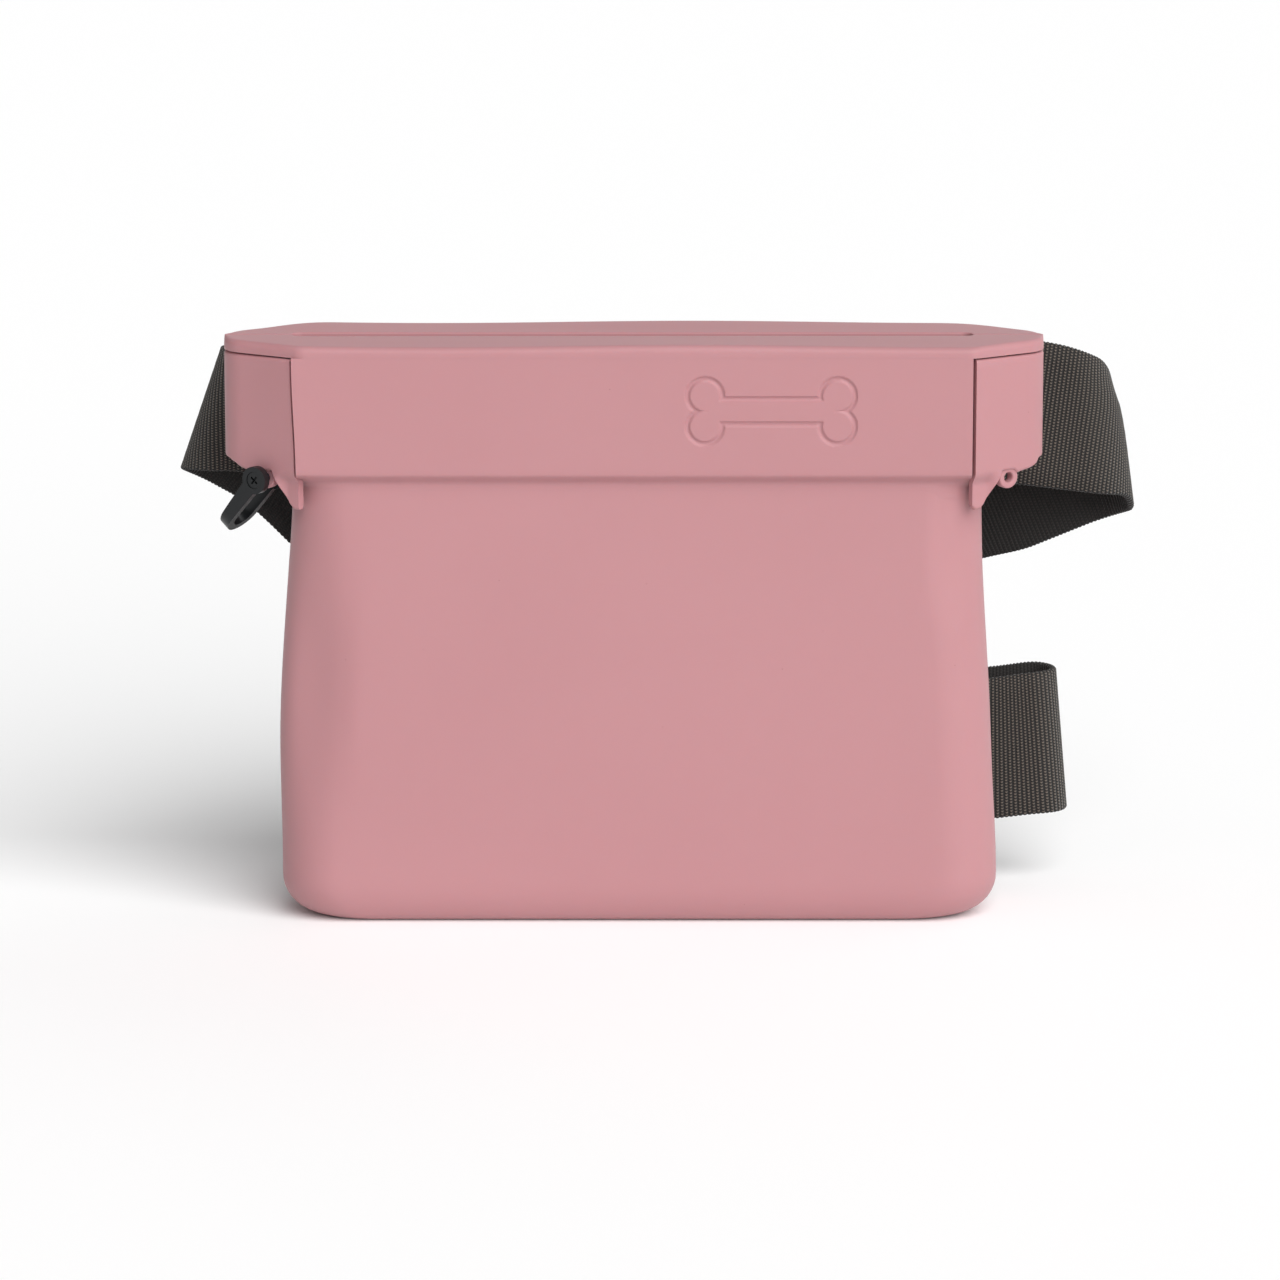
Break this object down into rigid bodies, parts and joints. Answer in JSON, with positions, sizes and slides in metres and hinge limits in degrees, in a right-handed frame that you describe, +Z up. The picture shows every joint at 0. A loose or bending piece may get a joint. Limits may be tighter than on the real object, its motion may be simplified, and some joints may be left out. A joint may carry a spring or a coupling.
{
  "type": "treat pouch",
  "caption": "Soft silicone treat pouch with a slotted magnetic mouth, folded webbing waist belt with side-release buckle, and a small shackle at the side.",
  "frame": {"origin": "middle of the base, on the surface it stands on", "axes": "+X left to right across the front, +Y from the front panel to the belt side, +Z up"},
  "size_m": [0.2482, 0.0642, 0.15],
  "materials": {
    "silicone": "matte dusty pink",
    "webbing": "ribbed dark brown webbing",
    "acetal": "satin black moulded",
    "black_metal": "satin black",
    "magnet": "nickel plated"
  },
  "bodies": {
    "pouch": {"bag": "silicone", "back_lip": "silicone", "left_collar_end": "silicone", "right_collar_end": "silicone", "left_wing": "silicone", "right_wing": "silicone", "left_belt_loop": "silicone", "right_belt_loop": "silicone", "belt_upper_run": "webbing", "belt_right_turn": "webbing", "belt_cross_run": "webbing", "belt_inner_turn": "webbing", "belt_socket_end": "webbing", "belt_plug_run": "webbing", "belt_low_turn": "webbing", "belt_rising_run": "webbing", "belt_left_turn": "webbing", "buckle_socket": "acetal", "buckle_plug": "acetal", "back_left_magnet": "magnet", "back_right_magnet": "magnet"},
    "front_lip": {"front_lip": "silicone", "front_left_magnet": "magnet", "front_right_magnet": "magnet"},
    "shackle": {"shackle_bow": "black_metal"},
    "shackle_screw": {"shackle_screw": "black_metal"},
    "upper_prong": {"upper_prong": "acetal"},
    "lower_prong": {"lower_prong": "acetal"},
    "tail_keeper": {"tail_keeper": "acetal"}
  },
  "joints": [
    {"name": "mouth_open", "type": "hinge", "parent": "pouch", "child": "front_lip", "pos_m": [0, -0.0173, 0.117], "axis": [1, 0, 0], "range_deg": [0, 35]},
    {"name": "shackle_swing", "type": "hinge", "parent": "pouch", "child": "shackle", "pos_m": [-0.09401, -0.01139, 0.1154], "axis": [-0.5348, -0.845, 0], "range_deg": [-30, 45]},
    {"name": "shackle_screw_out", "type": "slide", "parent": "shackle", "child": "shackle_screw", "axis": [-0.5348, -0.845, 0], "range_m": [0, 0.0095]},
    {"name": "upper_prong_press", "type": "hinge", "parent": "pouch", "child": "upper_prong", "pos_m": [-0.0036, 0.0287, 0.05446], "axis": [0, 1, 0], "range_deg": [-6, 0], "stiffness_Nm_per_rad": 0.5},
    {"name": "lower_prong_press", "type": "hinge", "parent": "pouch", "child": "lower_prong", "pos_m": [-0.0036, 0.0287, 0.01746], "axis": [0, 1, 0], "range_deg": [0, 6], "stiffness_Nm_per_rad": 0.5},
    {"name": "keeper_slide", "type": "slide", "parent": "pouch", "child": "tail_keeper", "axis": [1, 0, 0], "range_m": [-0.03, 0.0126]}
  ],
  "couplings": [
    {"joint": "lower_prong_press", "follows": "upper_prong_press", "ratio": -1}
  ]
}
